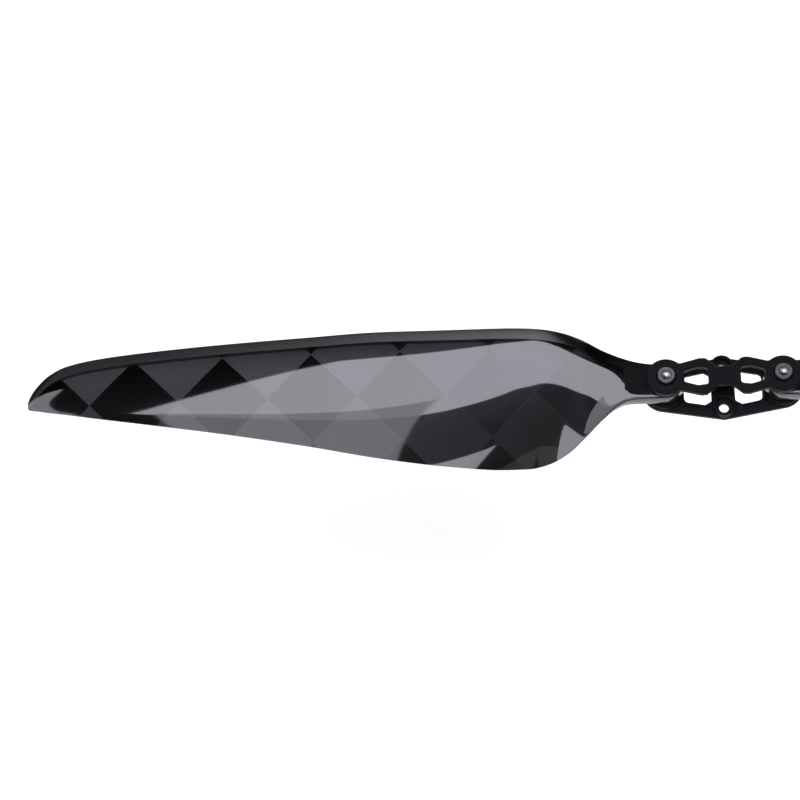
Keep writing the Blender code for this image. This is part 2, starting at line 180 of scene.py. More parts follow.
# Weak area lights from the front and both sides: name, place, width and height, power.
AREA_LIGHTS = (
    ("front", (-0.2, -2.6, 1.9), (2.4, 0.9), 2.5),
    ("left", (-2.6, 0.2, 1.5), (1.2, 1.2), 8),
    ("right", (2.3, 0.2, 1.5), (1.2, 1.2), 8),
)
LIGHT_TARGET = (-0.2, 0, 0)


# ---------------------------------------------------------------- small helpers

def ease(value, start, end):
    """Rises smoothly from 0 at start to 1 at end."""
    part = max(0.0, min(1.0, (value - start) / (end - start)))
    return part * part * (3 - 2 * part)


def arc(centre, radius, start, end, steps):
    """Points on an arc, with its angles in degrees."""
    points = []
    for step in range(steps + 1):
        angle = math.radians(start + (end - start) * step / steps)
        x = centre[0] + radius * math.cos(angle)
        y = centre[1] + radius * math.sin(angle)
        points.append((x, y))
    return points


def circle(centre, radius):
    return arc(centre, radius, 0, 360, ROUND_STEPS)[:-1]


def hexagon(centre, across_flats):
    return arc(centre, across_flats / math.sqrt(3), 0, 360, 6)[:-1]


def fillet(before, corner, after, radius):
    """The arc that rounds one corner of an outline."""
    ways = []
    for point in (before, after):
        across, up = point[0] - corner[0], point[1] - corner[1]
        size = math.hypot(across, up)
        ways.append((across / size, up / size))
    (ax, ay), (bx, by) = ways
    half = math.acos(max(-1, min(1, ax * bx + ay * by))) / 2
    middle = math.hypot(ax + bx, ay + by)
    reach = radius / math.sin(half)
    centre = (corner[0] + (ax + bx) / middle * reach, corner[1] + (ay + by) / middle * reach)
    run = radius / math.tan(half)
    first = math.atan2(corner[1] + ay * run - centre[1], corner[0] + ax * run - centre[0])
    last = math.atan2(corner[1] + by * run - centre[1], corner[0] + bx * run - centre[0])
    turn = (last - first + math.pi) % (2 * math.pi) - math.pi
    return arc(centre, radius, math.degrees(first), math.degrees(first + turn), FILLET_STEPS)


def rounded(corners):
    """An outline from corners (x, y, radius). A corner of radius 0 is kept as a point."""
    outline = []
    for i, (x, y, radius) in enumerate(corners):
        if radius:
            after = corners[(i + 1) % len(corners)]
            outline += fillet(corners[i - 1][:2], (x, y), after[:2], radius)
        else:
            outline.append((x, y))
    return outline


def mirrored_in_y(corners):
    return corners + [(x, -y, radius) for x, y, radius in reversed(corners) if y]


def mirrored_in_x(corners):
    return corners + [(-x, y, radius) for x, y, radius in reversed(corners) if x]


def plain(points):
    return [(x, y, 0) for x, y in points]


def quarter_to_outline(quarter):
    """A whole outline from its first quarter, which runs from the +Y side round to +X."""
    right = [(x, -y, radius) for x, y, radius in reversed(quarter) if abs(y) > MM / 100]
    return rounded(mirrored_in_x(quarter + right))


# ---------------------------------------------------------------- materials

class Nodes:
    """Adds nodes to one material, and joins their sockets."""

    def __init__(self, name):
        self.material = bpy.data.materials.new(name)
        self.material.use_nodes = True
        self.tree = self.material.node_tree
        self.shader = self.tree.nodes["Principled BSDF"]

    def add(self, kind, **settings):
        node = self.tree.nodes.new(kind)
        for setting, value in settings.items():
            setattr(node, setting, value)
        return node

    def join(self, source, target):
        self.tree.links.new(source, target)

    def feed(self, socket, value):
        """Sets a socket to a number, a colour or another node's output."""
        if isinstance(value, bpy.types.NodeSocket):
            self.join(value, socket)
        else:
            socket.default_value = value

    def math(self, operation, first, second=0.5):
        node = self.add("ShaderNodeMath", operation=operation)
        self.feed(node.inputs[0], first)
        self.feed(node.inputs[1], second)
        return node.outputs[0]

    def mix(self, factor, first, second):
        """A number or colour between two, by the factor."""
        node = self.add("ShaderNodeMix", data_type="RGBA")
        self.feed(node.inputs[0], factor)
        self.feed(node.inputs[6], first)
        self.feed(node.inputs[7], second)
        return node.outputs[2]

    def between(self, factor, first, second):
        node = self.add("ShaderNodeMapRange")
        self.feed(node.inputs["Value"], factor)
        self.feed(node.inputs["To Min"], first)
        self.feed(node.inputs["To Max"], second)
        return node.outputs[0]

    def span(self, value, start, end):
        """How far a value has come from start to end, from 0 to 1."""
        node = self.add("ShaderNodeMapRange")
        self.join(value, node.inputs["Value"])
        node.inputs["From Min"].default_value = start
        node.inputs["From Max"].default_value = end
        return node.outputs[0]

    def noise(self, vector, scale, detail=3.0):
        node = self.add("ShaderNodeTexNoise")
        self.feed(node.inputs["Vector"], vector)
        node.inputs["Scale"].default_value = scale
        node.inputs["Detail"].default_value = detail
        return node.outputs["Fac"]

    def mapped(self, vector, scale, rotation=0.0, shift=(0.0, 0.0, 0.0)):
        node = self.add("ShaderNodeMapping")
        self.feed(node.inputs["Vector"], vector)
        node.inputs["Scale"].default_value = scale
        node.inputs["Rotation"].default_value = (0, 0, rotation)
        node.inputs["Location"].default_value = shift
        return node.outputs[0]

    def bump(self, height, distance, strength=1.0):
        node = self.add("ShaderNodeBump")
        self.feed(node.inputs["Height"], height)
        node.inputs["Distance"].default_value = distance
        node.inputs["Strength"].default_value = strength
        return node.outputs[0]

    def surface(self, **values):
        """Sets the shader's sockets, whose names are given with _ for a space."""
        for name, value in values.items():
            self.feed(self.shader.inputs[name.replace("_", " ")], value)
        return self.material

    def place(self):
        return self.add("ShaderNodeTexCoord").outputs["Object"]


GLOSS_COAT = {"Coat_Weight": 1.0, "Coat_Roughness": 0.035, "Coat_IOR": 1.6}


def grey(level, blue=1.0):
    return (level, level, level * blue, 1)


def check_map(n, blade):
    """The blade's map turned and scaled so that each check of the cloth is one unit square."""
    turn = -math.pi / 4
    x, y = CHECK_CENTRE
    along = (x * math.cos(turn) - y * math.sin(turn)) / CHECK_SIDE
    across = (x * math.sin(turn) + y * math.cos(turn)) / CHECK_SIDE
    shift = (0.5 - along, 0.5 - across, 0.5)
    return n.mapped(blade, (1 / CHECK_SIDE, 1 / CHECK_SIDE, 1), turn, shift)


def seam_lines(n, checks):
    """1 on the seams between checks."""
    parts = n.add("ShaderNodeSeparateXYZ")
    n.join(checks, parts.inputs[0])
    edges = [n.math("PINGPONG", parts.outputs[axis], 0.5) for axis in (0, 1)]
    return n.math("LESS_THAN", n.math("MINIMUM", *edges), CHECK_SEAM)


def cloth_colour(n, checks, kind, tows, cloud, painted_light_tipward):
    """Two kinds of check, painted as lit and shaded copies of one cloth; pale seams and a faint cloud."""
    # Painted light: the checks are painted close in tone near the root and in strong contrast towards the
    # tip.
    dark = n.mix(painted_light_tipward, grey(0.024, 1.1), n.mix(tows, grey(0.002, 1.1), grey(0.006, 1.1)))
    light = n.mix(painted_light_tipward, grey(0.028, 1.06), n.mix(tows, grey(0.034, 1.06), grey(0.050, 1.06)))
    seam = n.math("MULTIPLY", seam_lines(n, checks), n.between(cloud, -0.3, 0.6))
    colour = n.mix(seam, n.mix(kind, dark, light), grey(0.10))
    return n.mix(n.math("MULTIPLY", cloud, 0.3), colour, grey(0.006))


def edge_strip(n, blade, colour, painted_light_tipward):
    """Adds the leading edge's pale strip and the dark line behind it, both painted reflections. Returns
    the strip as well.
    """
    behind = n.add("ShaderNodeAttribute", attribute_name=EDGE).outputs["Fac"]
    threads = n.noise(n.mapped(blade, (40, 5000, 1)), 1.0)
    # Painted reflection: a pale strip along the edge, then a painted dark line behind it.
    strip = n.math("LESS_THAN", behind, STRIP_WIDTH)
    line = n.math("COMPARE", behind, STRIP_WIDTH + STRIP_SEAM)
    line.node.inputs[2].default_value = STRIP_SEAM
    painted_reflection_grey = n.mix(painted_light_tipward, grey(0.10), n.mix(threads, grey(0.04), grey(0.09)))
    return strip, n.mix(strip, n.mix(line, colour, grey(0.012)), painted_reflection_grey)


def carbon_material():
    """Spread-tow carbon in diamond checks, under a gloss coat.

    The tows of the two kinds of check run at right angles, so that they catch the light in turn.
    Their base colours paint this in as well, one kind painted lit and the other painted shaded.
    """
    n = Nodes("carbon_checks")
    blade = n.add("ShaderNodeUVMap", uv_map=MAP).outputs[0]
    checks = check_map(n, blade)
    checker = n.add("ShaderNodeTexChecker")
    n.join(checks, checker.inputs["Vector"])
    checker.inputs["Scale"].default_value = 1
    kind = checker.outputs["Fac"]
    one_way = n.noise(n.mapped(checks, (TOW_SCALE_ACROSS, TOW_SCALE_ALONG, 1)), 1.0)
    other_way = n.noise(n.mapped(checks, (TOW_SCALE_ALONG, TOW_SCALE_ACROSS, 1)), 1.0)
    tows = n.between(kind, other_way, one_way)
    cloud = n.noise(blade, 28.0)
    where = n.add("ShaderNodeSeparateXYZ")
    n.join(blade, where.inputs[0])
    radius = where.outputs[0]
    # Painted light: how far along the blade the checks' painted tones have changed.
    painted_light_tipward = n.span(radius, TIP_GREY_START, TIP_GREY_END)
    colour = cloth_colour(n, checks, kind, tows, cloud, painted_light_tipward)
    strip, colour = edge_strip(n, blade, colour, painted_light_tipward)
    past_neck = n.span(radius, NECK_BLACK_START, NECK_BLACK_END)
    tangent = n.add("ShaderNodeTangent", direction_type="UV_MAP", uv_map=MAP)
    n.join(tangent.outputs[0], n.shader.inputs["Tangent"])
    return n.surface(
        Base_Color=n.mix(past_neck, grey(0.010), colour),
        Metallic=1.0,
        Roughness=n.between(tows, 0.36, 0.46),
        Anisotropic=0.95,
        Anisotropic_Rotation=n.between(strip, n.between(kind, 0.125, 0.375), 0.25),
        Normal=n.bump(tows, 0.02 * MM, 0.4),
        **GLOSS_COAT,
    )


def root_material():
    """Black moulded root under the same gloss coat."""
    n = Nodes("root_black")
    grain = n.noise(n.place(), 900.0)
    cloud = n.noise(n.place(), 60.0)
    return n.surface(
        Base_Color=n.mix(cloud, grey(0.006, 1.15), grey(0.012, 1.15)),
        Roughness=n.between(grain, 0.34, 0.5),
        Normal=n.bump(grain, 0.01 * MM, 0.3),
        Specular_IOR_Level=0.05,
        **GLOSS_COAT,
    )


def anodised_material():
    """Black anodised aluminium with a fine blasted grain."""
    n = Nodes("black_anodised")
    grain = n.noise(n.place(), 3500.0, 2.0)
    cloud = n.noise(n.place(), 120.0)
    base = n.mix(cloud, grey(0.004, 1.25), grey(0.007, 1.25))
    return n.surface(
        Base_Color=n.mix(grain, base, grey(0.011, 1.2)),
        Roughness=n.between(cloud, 0.38, 0.52),
        Normal=n.bump(grain, 0.02 * MM, 0.5),
        Specular_IOR_Level=0.12,
    )


def painted_edge_highlight_material():
    """The plates' chamfers, painted brighter as a highlight along the edges."""
    n = Nodes("anodised_edge")
    painted_sheen_noise = n.noise(n.place(), 700.0)
    return n.surface(
        Base_Color=n.mix(painted_sheen_noise, grey(0.012, 1.15), grey(0.04, 1.15)),
        Metallic=0.5,
        Roughness=n.between(painted_sheen_noise, 0.28, 0.42),
    )


def steel_material():
    n = Nodes("screw_steel")
    place = n.place()
    turned = n.noise(n.mapped(place, (400, 400, 9000)), 1.0)
    cloud = n.noise(place, 900.0)
    return n.surface(
        Base_Color=n.mix(cloud, grey(0.22), grey(0.42)),
        Metallic=1.0,
        Roughness=n.between(turned, 0.24, 0.42),
        Normal=n.bump(turned, 0.01 * MM, 0.4),
    )


def brass_material():
    n = Nodes("bush_brass")
    turned = n.noise(n.mapped(n.place(), (300, 300, 7000)), 1.0)
    return n.surface(
        Base_Color=n.mix(turned, (0.55, 0.38, 0.13, 1), (0.68, 0.50, 0.22, 1)),
        Metallic=1.0,
        Roughness=n.between(turned, 0.22, 0.36),
    )


def nylon_material():
    n = Nodes("washer_nylon")
    grain = n.noise(n.place(), 1500.0)
    return n.surface(
        Base_Color=n.mix(grain, grey(0.012), grey(0.03)),
        Roughness=n.between(grain, 0.45, 0.6),
        Normal=n.bump(grain, 0.01 * MM, 0.4),
    )


def foam_material():
    n = Nodes("core_foam")
    cells = n.add("ShaderNodeTexVoronoi")
    n.join(n.place(), cells.inputs["Vector"])
    cells.inputs["Scale"].default_value = 900
    return n.surface(
        Base_Color=n.mix(cells.outputs["Distance"], (0.78, 0.74, 0.62, 1), (0.62, 0.57, 0.45, 1)),
        Roughness=n.between(cells.outputs["Distance"], 0.85, 0.95),
        Normal=n.bump(cells.outputs["Distance"], 0.2 * MM, 0.6),
    )


# ---------------------------------------------------------------- meshes

def finish_mesh(obj, *materials):
    """Turns the faces outwards, smooths them between sharp edges and gives the mesh its materials."""
    shape = bmesh.new()
    shape.from_mesh(obj.data)
    bmesh.ops.recalc_face_normals(shape, faces=shape.faces)
    shape.to_mesh(obj.data)
    shape.free()
    obj.data.shade_smooth()
    obj.data.set_sharp_from_angle(angle=SMOOTH_ANGLE)
    obj.data.materials.clear()
    for material in materials:
        obj.data.materials.append(material)
    return obj


def new_object(name, points, faces):
    mesh = bpy.data.meshes.new(name)
    mesh.from_pydata(points, [], faces)
    obj = bpy.data.objects.new(name, mesh)
    bpy.context.scene.collection.objects.link(obj)
    return obj


def plate(name, outlines, bottom, top, bevel):
    """A flat plate with chamfered edges. The first outline is its rim, and the others are holes."""
    curve = bpy.data.curves.new(name, "CURVE")
    curve.dimensions = "2D"
    curve.fill_mode = "BOTH"
    curve.extrude = (top - bottom) / 2 - bevel
    curve.bevel_depth = bevel
    curve.bevel_resolution = 0
    curve.offset = -bevel
    for outline in outlines:
        spline = curve.splines.new("POLY")
        spline.points.add(len(outline) - 1)
        for point, (x, y) in zip(spline.points, outline):
            point.co = (x, y, 0, 1)
        spline.use_cyclic_u = True
    drawn = bpy.data.objects.new(name, curve)
    bpy.context.scene.collection.objects.link(drawn)
    graph = bpy.context.evaluated_depsgraph_get()
    mesh = bpy.data.meshes.new_from_object(drawn.evaluated_get(graph))
    bpy.data.objects.remove(drawn)
    mesh.transform(Matrix.Translation((0, 0, (top + bottom) / 2)))
    shape = bmesh.new()
    shape.from_mesh(mesh)
    bmesh.ops.remove_doubles(shape, verts=shape.verts, dist=MM / 1000)
    for face in shape.faces:
        face.normal_update()
        # The slanted chamfer faces take the second material, which paints a highlight on them.
        slanted = 0.3 < abs(face.normal.z) < 0.95
        face.material_index = 1 if slanted else 0
    shape.to_mesh(mesh)
    shape.free()
    obj = bpy.data.objects.new(name, mesh)
    bpy.context.scene.collection.objects.link(obj)
    return obj


def turned(name, centre, profile, closed=True):
    """A surface turned round a vertical axis, from a loop of (radius, height)."""
    points = []
    for step in range(ROUND_STEPS):
        angle = 2 * math.pi * step / ROUND_STEPS
        for radius, z in profile:
            points.append((centre[0] + radius * math.cos(angle), centre[1] + radius * math.sin(angle), z))
    count = len(profile)
    faces = []
    for step in range(ROUND_STEPS):
        here = step * count
        there = (step + 1) % ROUND_STEPS * count
        for i in range(count if closed else count - 1):
            j = (i + 1) % count
            faces.append((here + i, here + j, there + j, there + i))
    return new_object(name, points, faces)


def joined(name, pieces):
    """One object from several, which keeps the first one's material slots."""
    shape = bmesh.new()
    for piece in pieces:
        shape.from_mesh(piece.data)
        if piece != pieces[0]:
            bpy.data.objects.remove(piece)
    shape.to_mesh(pieces[0].data)
    shape.free()
    pieces[0].name = name
    return pieces[0]


# ---------------------------------------------------------------- hub

def upper_outline():
    """A narrow waist, a wider hexagon each side of it, and a round pad at each pivot."""
    quarter = [(4.2 * MM, 5.8 * MM, 2.0 * MM)]
    quarter += [(10.6 * MM, 11.1 * MM, 2.0 * MM), (14.0 * MM, 11.3 * MM, 3.0 * MM)]
    quarter += [(25.3 * MM, 8.3 * MM, 1.5 * MM)]
    quarter += plain(arc((PIVOT_X, 0), UPPER_PAD_RADIUS, 130, 0, ROUND_STEPS // 2))
    return quarter_to_outline(quarter)


def lower_outline():
    """The truss: round bosses and pivot ends, joined by the straight lines that touch both."""
    lean = math.degrees(math.asin((PIVOT_END_RADIUS - BOSS_RADIUS) / math.hypot(PIVOT_X, MOUNT_Y)))
    touch = 90 - math.degrees(math.atan2(MOUNT_Y, PIVOT_X)) + lean
    quarter = plain(arc((0, MOUNT_Y), BOSS_RADIUS, 90, touch, FILLET_STEPS))
    quarter += plain(arc((PIVOT_X, 0), PIVOT_END_RADIUS, touch, 0, ROUND_STEPS // 2))
    return quarter_to_outline(quarter)


def upper_window(side):
    corners = [(9.4 * MM, 5.1 * MM, 1.8 * MM), (15.5 * MM, 5.8 * MM, 3.0 * MM)]
    corners += [(23.8 * MM, 3.3 * MM, 2.0 * MM)]
    return [(side * x, y) for x, y in rounded(mirrored_in_y(corners))]


def lower_window(side):
    corners = [(CROSSBAR_HALF_WIDTH, 7.9 * MM, 1.5 * MM), (10.8 * MM, 10.4 * MM, 2.5 * MM)]
    corners += [(22.9 * MM, 8.0 * MM, 3.0 * MM)]
    return [(side * x, y) for x, y in rounded(mirrored_in_y(corners))]


def pad_outline(side):
    """The raised pad round a pivot, cut off flat beside the window."""
    cut = math.degrees(math.acos((PIVOT_X - PAD_FLAT_X) / PAD_RADIUS))
    outline = arc((PIVOT_X, 0), PAD_RADIUS, cut - 180, 180 - cut, ROUND_STEPS)
    return [(side * x, y) for x, y in outline]


def rib_outline():
    """The raised rib along the crossbar, which ends in the wall of each boss."""
    radius = (BOSS_RIM_RADIUS + MOUNT_BORE_RADIUS) / 2
    edge = math.degrees(math.acos(RIB_HALF_WIDTH / radius))
    end = arc((0, MOUNT_Y), radius, -edge, edge - 180, FILLET_STEPS)
    return end + [(-x, -y) for x, y in end]


def make_upper_plate(bottom, top):
    """The skeleton plate, with a counterbore that each screw head sits in."""
    outlines = [upper_outline()]
    seat = top - HEAD_BORE_DEPTH
    pieces = []
    for side in (-1, 1):
        pivot = (side * PIVOT_X, 0)
        outlines += [upper_window(side), circle(pivot, HEAD_BORE_RADIUS)]
        ring = [(HEAD_BORE_RADIUS, seat), (HEAD_BORE_RADIUS, bottom)]
        ring += [(HOLE_RADIUS, bottom), (HOLE_RADIUS, seat)]
        pieces.append(turned(f"head_seat_{side}", pivot, ring))
    pieces.insert(0, plate("upper", outlines, bottom, top, PLATE_CHAMFER))
    return joined("upper_plate", pieces)


def boss_profile(bottom, top):
    """The (radius, height) loop of a mount boss, with a counterbore above the screw's hole."""
    return [
        (MOUNT_BORE_RADIUS, top - FINE_CHAMFER),
        (MOUNT_BORE_RADIUS + FINE_CHAMFER, top),
        (BOSS_RIM_RADIUS - FINE_CHAMFER, top),
        (BOSS_RIM_RADIUS, top - FINE_CHAMFER),
        (BOSS_RIM_RADIUS, bottom + PLATE_CHAMFER),
        (BOSS_RIM_RADIUS - PLATE_CHAMFER, bottom),
        (MOUNT_HOLE_RADIUS + FINE_CHAMFER, bottom),
        (MOUNT_HOLE_RADIUS, bottom + FINE_CHAMFER),
        (MOUNT_HOLE_RADIUS, bottom + MOUNT_FLOOR),
        (MOUNT_BORE_RADIUS, bottom + MOUNT_FLOOR),
    ]


def make_lower_plate(bottom, top):
    """The lower truss, with a counterbored boss for each mount screw and a pocket for each nut."""
    face = top - BOSS_RIM_HEIGHT
    inside = BEAM_THICKNESS - 2 * PLATE_CHAMFER
    outlines = [lower_outline()]
    pieces = []
    for side in (-1, 1):
        boss = (0, side * MOUNT_Y)
        pivot = (side * PIVOT_X, 0)
        pocket = hexagon(pivot, NUT_ACROSS_FLATS + 2 * GAP)
        outlines += [lower_window(side), circle(boss, MOUNT_BORE_RADIUS), pocket]
        pieces.append(turned(f"boss_{side}", boss, boss_profile(bottom, top)))
        roof = [pocket, circle(pivot, HOLE_RADIUS)]
        pieces.append(plate(f"nut_roof_{side}", roof, NUT_POCKET_DEPTH, face, ROOF_CHAMFER))
        pieces.append(plate(f"pad_{side}", [pad_outline(side), pocket], inside, face, PLATE_CHAMFER))
    pieces.append(plate("rib", [rib_outline()], inside, RIB_TOP, PLATE_CHAMFER))
    pieces.insert(0, plate("lower", outlines, bottom, BEAM_THICKNESS, PLATE_CHAMFER))
    return joined("lower_plate", pieces)


def thread_profile(bottom, top):
    """The (radius, height) loop of a shank whose lower end is threaded."""
    thread = [(SHANK_RADIUS, top), (SHANK_RADIUS, bottom + THREAD_LENGTH)]
    for step in range(int(THREAD_LENGTH / THREAD_PITCH)):
        crest = bottom + THREAD_LENGTH - step * THREAD_PITCH
        thread.append((SHANK_RADIUS, crest - 0.1 * THREAD_PITCH))
        thread.append((SHANK_RADIUS - THREAD_DEPTH, crest - 0.5 * THREAD_PITCH))
        thread.append((SHANK_RADIUS, crest - 0.9 * THREAD_PITCH))
    return thread + [(SHANK_RADIUS - THREAD_DEPTH, bottom), (AXIS_RADIUS, bottom), (AXIS_RADIUS, top)]


def make_screw(number, pivot, bottom, top):
    """A chamfered head, a hexagonal socket with a drilled floor, and a shank with a threaded tail."""
    head_bottom = top - HEAD_HEIGHT
    outlines = [circle(pivot, HEAD_RADIUS), hexagon(pivot, SOCKET_ACROSS_FLATS)]
    head = plate(f"head_{number}", outlines, head_bottom, top, HEAD_CHAMFER)
    inside_head = head_bottom + MM / 2
    floor = top - SOCKET_DEPTH
    reach = SOCKET_ACROSS_FLATS * 0.7
    drilled = [(reach, inside_head), (reach, floor), (DRILL_RADIUS, floor)]
    drilled += [(AXIS_RADIUS, floor - DRILL_DEPTH), (AXIS_RADIUS, inside_head)]
    socket = turned(f"socket_{number}", pivot, drilled)
    shank = turned(f"shank_{number}", pivot, thread_profile(bottom, inside_head))
    return joined(f"screw_{number}", [head, socket, shank])


def make_nut(number, pivot, bottom, top):
    outlines = [hexagon(pivot, NUT_ACROSS_FLATS), circle(pivot, HOLE_RADIUS)]
    return plate(f"nut_{number}", outlines, bottom, top, NUT_CHAMFER)


def make_ring(name, pivot, inner, outer, bottom, top, chamfer):
    profile = [
        (outer, top - chamfer),
        (outer, bottom + chamfer),
        (outer - chamfer, bottom),
        (inner + chamfer, bottom),
        (inner, bottom + chamfer),
        (inner, top - chamfer),
        (inner + chamfer, top),
        (outer - chamfer, top),
    ]
    return turned(name, pivot, profile)


# ---------------------------------------------------------------- blade

def slope_at(index, column):
    """The slope of one column of the station table, kept flat where the values turn."""
    if index in (0, len(STATIONS) - 1):
        near = STATIONS[1 if index == 0 else index - 1]
        here = STATIONS[index]
        return (near[column] - here[column]) / (near[RADIUS] - here[RADIUS])
    before, here, after = STATIONS[index - 1 : index + 2]
    rise = (here[column] - before[column]) / (here[RADIUS] - before[RADIUS])
    fall = (after[column] - here[column]) / (after[RADIUS] - here[RADIUS])
    return 2 * rise * fall / (rise + fall) if rise * fall > 0 else 0.0


def station(radius, column):
    """One value of the blade at any radius, on a smooth curve through the stations."""
    place = radius / MM
    index = 0
    while index < len(STATIONS) - 2 and STATIONS[index + 1][RADIUS] < place:
        index += 1
    low, high = STATIONS[index], STATIONS[index + 1]
    width = high[RADIUS] - low[RADIUS]
    t = max(0.0, min(1.0, (place - low[RADIUS]) / width))
    value = (2 * t**3 - 3 * t**2 + 1) * low[column]
    value += (3 * t**2 - 2 * t**3) * high[column]
    value += (t**3 - 2 * t**2 + t) * width * slope_at(index, column)
    value += (t**3 - t**2) * width * slope_at(index + 1, column)
    return value * MM


def twist(radius):
    """The blade angle: flat at the neck, then the angle of a screw of the stated pitch."""
    return ease(radius, TWIST_START, TWIST_END) * math.atan(PITCH / (2 * math.pi * radius))


def half_thickness(radius, chord_part):
    """Half the thickness at a part of the chord, from a rounded bar at the neck to an aerofoil."""
    across = abs(2 * chord_part - 1)
    bar = (1 - across**BAR_POWER) ** (1 / BAR_POWER)
    foil = FOIL_ROOT_FACTOR * math.sqrt(chord_part)
    foil += sum(factor * chord_part ** (i + 1) for i, factor in enumerate(FOIL_FACTORS))
    shape = foil * 10 + (bar - foil * 10) * (1 - ease(radius, FOIL_START, FOIL_END))
    return HALF_EDGE + (station(radius, THICKNESS) / 2 - HALF_EDGE) * max(0.0, shape)


class Blade:
    """Points of one blade, placed about its own pivot."""

    def __init__(self, number, pivot, middle):
        self.number = number
        self.middle = middle
        turn = 0 if pivot.x > 0 else math.pi
        self.place = Matrix.Translation(pivot) @ Matrix.Rotation(turn, 4, "Z")

    def point(self, radius, chord_part, side, inset=0.0, half_width=None):
        """A point on the upper (side 1) or lower (side -1) surface, or inset from it.

        chord_part runs from 0 at the leading edge to 1 at the trailing edge.
        """
        lead = half_width or station(radius, LEAD)
        trail = half_width or station(radius, TRAIL)
        across = lead - chord_part * (lead + trail)
        bow = CAMBER * (lead + trail) * ease(radius, CAMBER_START, CAMBER_END)
        bow *= 4 * chord_part * (1 - chord_part)
        half = half_thickness(max(radius, PIVOT_X), chord_part)
        if inset:
            half = max(SEAM / 2, half - inset)
        height = bow + side * half
        angle = twist(max(radius, PIVOT_X))
        y = -across * math.cos(angle) + height * math.sin(angle)
        z = self.middle + across * math.sin(angle) + height * math.cos(angle)
        return self.place @ Vector((radius - PIVOT_X, y, z))

    def map_point(self, radius, chord_part):
        """Where the point lies on the flat cloth: its radius, and its distance ahead of the pivot line."""
        lead = station(radius, LEAD)
        return (radius, lead - chord_part * (lead + station(radius, TRAIL)))

    def between_sheets(self, name, radii, parts, sheets, half_widths=None):
        """A closed solid between two sheets, each given as (side, inset)."""
        points = []
        for side, depth in sheets:
            for row, radius in enumerate(radii):
                half_width = half_widths[row] if half_widths else None
                points += [self.point(radius, part, side, depth, half_width) for part in parts]
        rows, columns = len(radii), len(parts)
        below = rows * columns
        faces = []
        for row in range(rows - 1):
            for column in range(columns - 1):
                at = row * columns + column
                quad = (at, at + 1, at + columns + 1, at + columns)
                faces.append(quad)
                faces.append(tuple(below + corner for corner in reversed(quad)))
        rim = list(range(columns))
        rim += [row * columns + columns - 1 for row in range(1, rows)]
        rim += [(rows - 1) * columns + column for column in reversed(range(columns - 1))]
        rim += [row * columns for row in reversed(range(1, rows - 1))]
        for corner, following in zip(rim, rim[1:] + rim[:1]):
            faces.append((corner, below + corner, below + following, following))
        obj = new_object(name, points, faces)
        flat = [self.map_point(radius, part) for radius in radii for part in parts] * 2
        edge = obj.data.attributes.new(EDGE, "FLOAT", "POINT")
        for item, (radius, ahead) in zip(edge.data, flat):
            item.value = station(radius, LEAD) - ahead
        layer = obj.data.uv_layers.new(name=MAP)
        for loop in obj.data.loops:
            layer.data[loop.index].uv = flat[loop.vertex_index]
        return obj

    def skin(self, side):
        name = "upper" if side > 0 else "lower"
        return self.between_sheets(
            f"blade_{self.number}_{name}_carbon",
            span_radii(),
            chord_parts(),
            ((side, 0.0), (side, SKIN_THICKNESS)),
        )

    def root(self):
        """A round eye and a neck as wide as it, bored for the bush."""
        radii = []
        widths = []
        for step in range(EYE_STEPS):
            angle = math.pi / 2 * (step + 0.5) / EYE_STEPS
            radii.append(PIVOT_X - ROOT_HALF_WIDTH * math.cos(angle))
            widths.append(ROOT_HALF_WIDTH * math.sin(angle))
        for step in range(NECK_STEPS + 1):
            radii.append(PIVOT_X + (SKIN_START - SEAM - PIVOT_X) * step / NECK_STEPS)
            widths.append(None)
        name = f"blade_{self.number}_root"
        block = self.between_sheets(name, radii, chord_parts(), ((1, 0.0), (-1, 0.0)), widths)
        centre = self.place.translation
        ends = (self.middle - 10 * MM, self.middle + 10 * MM)
        bore = turned("bore", centre, [(ROOT_BORE_RADIUS, z) for z in ends], closed=False)
        fill_ends(bore)
        cut(block, bore)
        return block


def fill_ends(obj):
    shape = bmesh.new()
    shape.from_mesh(obj.data)
    bmesh.ops.holes_fill(shape, edges=shape.edges, sides=0)
    bmesh.ops.recalc_face_normals(shape, faces=shape.faces)
    shape.to_mesh(obj.data)
    shape.free()


def cut(target, cutter):
    """Cuts one solid from another, and removes the cutter."""
    for obj in (target, cutter):
        shape = bmesh.new()
        shape.from_mesh(obj.data)
        bmesh.ops.recalc_face_normals(shape, faces=shape.faces)
        shape.to_mesh(obj.data)
        shape.free()
    boolean = target.modifiers.new("cut", "BOOLEAN")
    boolean.operation = "DIFFERENCE"
    boolean.solver = "EXACT"
    boolean.object = cutter
    graph = bpy.context.evaluated_depsgraph_get()
    mesh = bpy.data.meshes.new_from_object(target.evaluated_get(graph))
    target.modifiers.clear()
    target.data = mesh
    bpy.data.objects.remove(cutter)


def chord_parts():
    """Parts of the chord, closer together at the two edges."""
    return [(1 - math.cos(math.pi * i / CHORD_STEPS)) / 2 for i in range(CHORD_STEPS + 1)]


def span_radii():
    """Radii of the skins' stations, closer together at the root and the tip."""
    radii = []
    for step in range(SPAN_STEPS + 1):
        even = step / SPAN_STEPS
        part = 0.45 * even + 0.55 * (1 - math.cos(math.pi * even)) / 2
        radii.append(SKIN_START + (DIAMETER / 2 - SKIN_START) * part)
    return radii


# ---------------------------------------------------------------- studio

def rectangle(name, half_width, half_depth, height):
    """One flat face about the vertical axis."""
    corners = [(-half_width, -half_depth), (half_width, -half_depth)]
    corners += [(half_width, half_depth), (-half_width, half_depth)]
    return new_object(name, [(x, y, height) for x, y in corners], [(0, 1, 2, 3)])


def stage_material(name, colour, strength):
    n = Nodes(name)
    return n.surface(
        Base_Color=colour,
        Roughness=0.9,
        Emission_Color=colour,
        Emission_Strength=strength,
    )


def make_floor():
    floor = rectangle("floor", FLOOR_HALF_SIZE, FLOOR_HALF_SIZE, -FLOOR_DEPTH)
    floor.data.materials.append(stage_material("floor_white", grey(FLOOR_GREY), FLOOR_GLOW))


